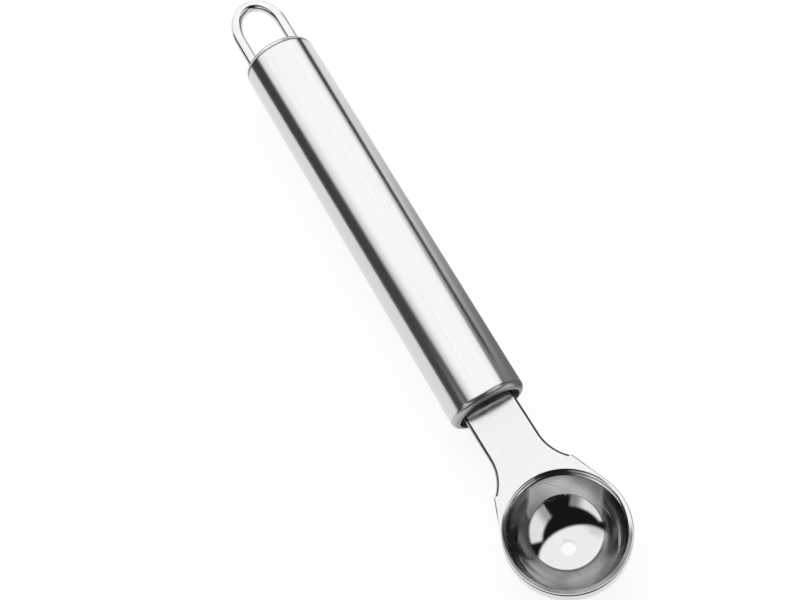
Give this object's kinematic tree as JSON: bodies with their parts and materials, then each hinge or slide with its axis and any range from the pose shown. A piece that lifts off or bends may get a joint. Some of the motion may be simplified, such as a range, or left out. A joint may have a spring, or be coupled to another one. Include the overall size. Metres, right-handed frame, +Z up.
{
  "type": "melon baller",
  "caption": "Steel melon baller: tubular handle with a wire hanging loop, flat bent neck and round bowl with a drain hole.",
  "frame": {"origin": "under the middle of the tool's length and width, on the surface that the tool lies on", "axes": "+X along the handle from the hanging loop towards the bowl, +Z up out of the open bowl, +Y across the tool"},
  "size_m": [0.1784, 0.0292, 0.019],
  "materials": {
    "scoop_steel": "mirror-polished stainless sheet, satin on the neck",
    "handle_steel": "bright-polished stainless tube",
    "cap_steel": "bright-polished stainless disc",
    "wire_steel": "bright-polished stainless wire",
    "plug_steel": "turned stainless, unpolished",
    "weld_steel": "weld bead, unpolished"
  },
  "bodies": {
    "root": {"scoop": "scoop_steel", "handle_tube": "handle_steel", "end_cap": "cap_steel", "hanging_loop": "wire_steel", "tang_plug": "plug_steel", "tang_welds": "weld_steel", "loop_welds": "weld_steel"}
  },
  "joints": []
}
